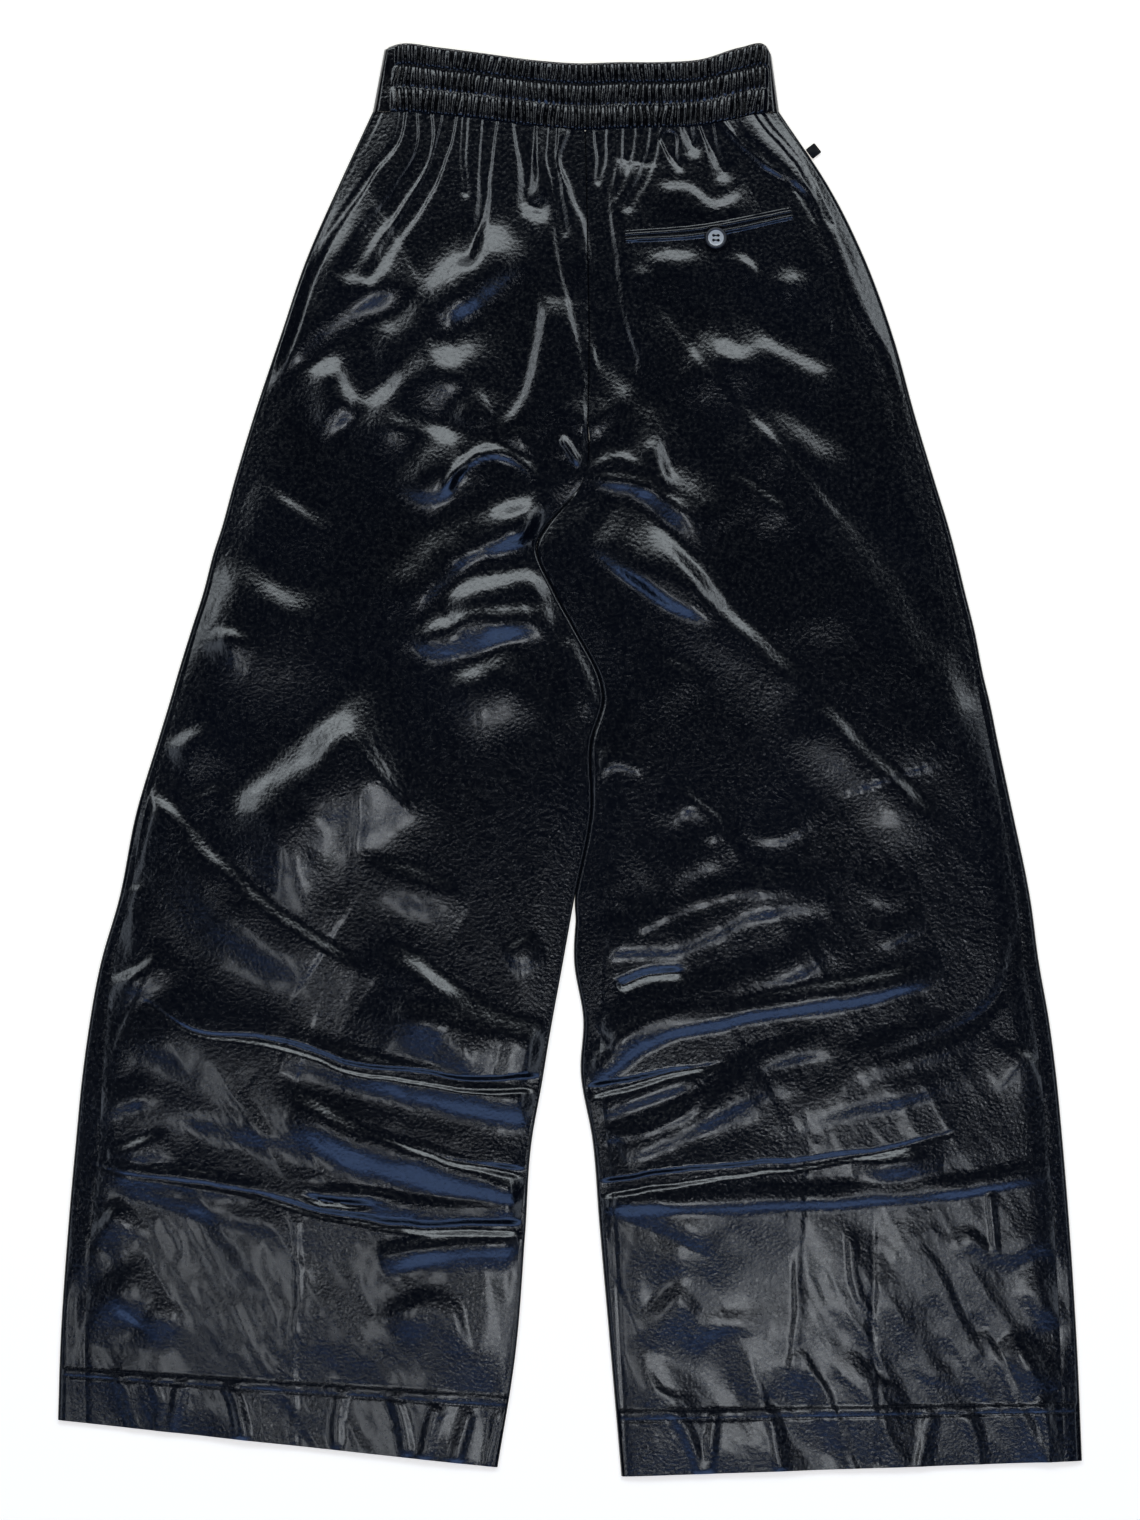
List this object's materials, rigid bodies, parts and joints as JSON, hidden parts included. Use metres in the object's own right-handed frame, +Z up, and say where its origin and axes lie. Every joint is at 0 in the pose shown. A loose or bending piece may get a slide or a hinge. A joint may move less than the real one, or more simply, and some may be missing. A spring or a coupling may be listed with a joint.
{
  "type": "track pants",
  "caption": "Wide-leg track pants of glossy coated cloth with a gathered elastic waistband and a buttoned welt pocket, laid flat with the back up.",
  "frame": {"origin": "on the surface that the garment lies on, at the middle of its outline", "axes": "+Y from the hems to the waist, +X towards the wearer's right leg, +Z up from the surface, out of the garment's back"},
  "size_m": [0.778, 1.0884, 0.0165],
  "materials": {
    "coated_cloth": "glossy black-navy coated cloth with a fine grain",
    "waistband_cloth": "the same coated cloth, shirred over elastic",
    "button_metal": "pale satin metal",
    "thread": "black sewing thread",
    "woven_tape": "black woven ribbon"
  },
  "bodies": {
    "root": {"waistband_back": "waistband_cloth", "waistband_front": "waistband_cloth", "back_panel_left": "coated_cloth", "back_panel_right": "coated_cloth", "front_panel_left": "coated_cloth", "front_panel_right": "coated_cloth", "pocket_welt_upper": "coated_cloth", "pocket_welt_lower": "coated_cloth", "pocket_button": "button_metal", "button_thread": "thread", "side_tab": "woven_tape"}
  },
  "joints": []
}
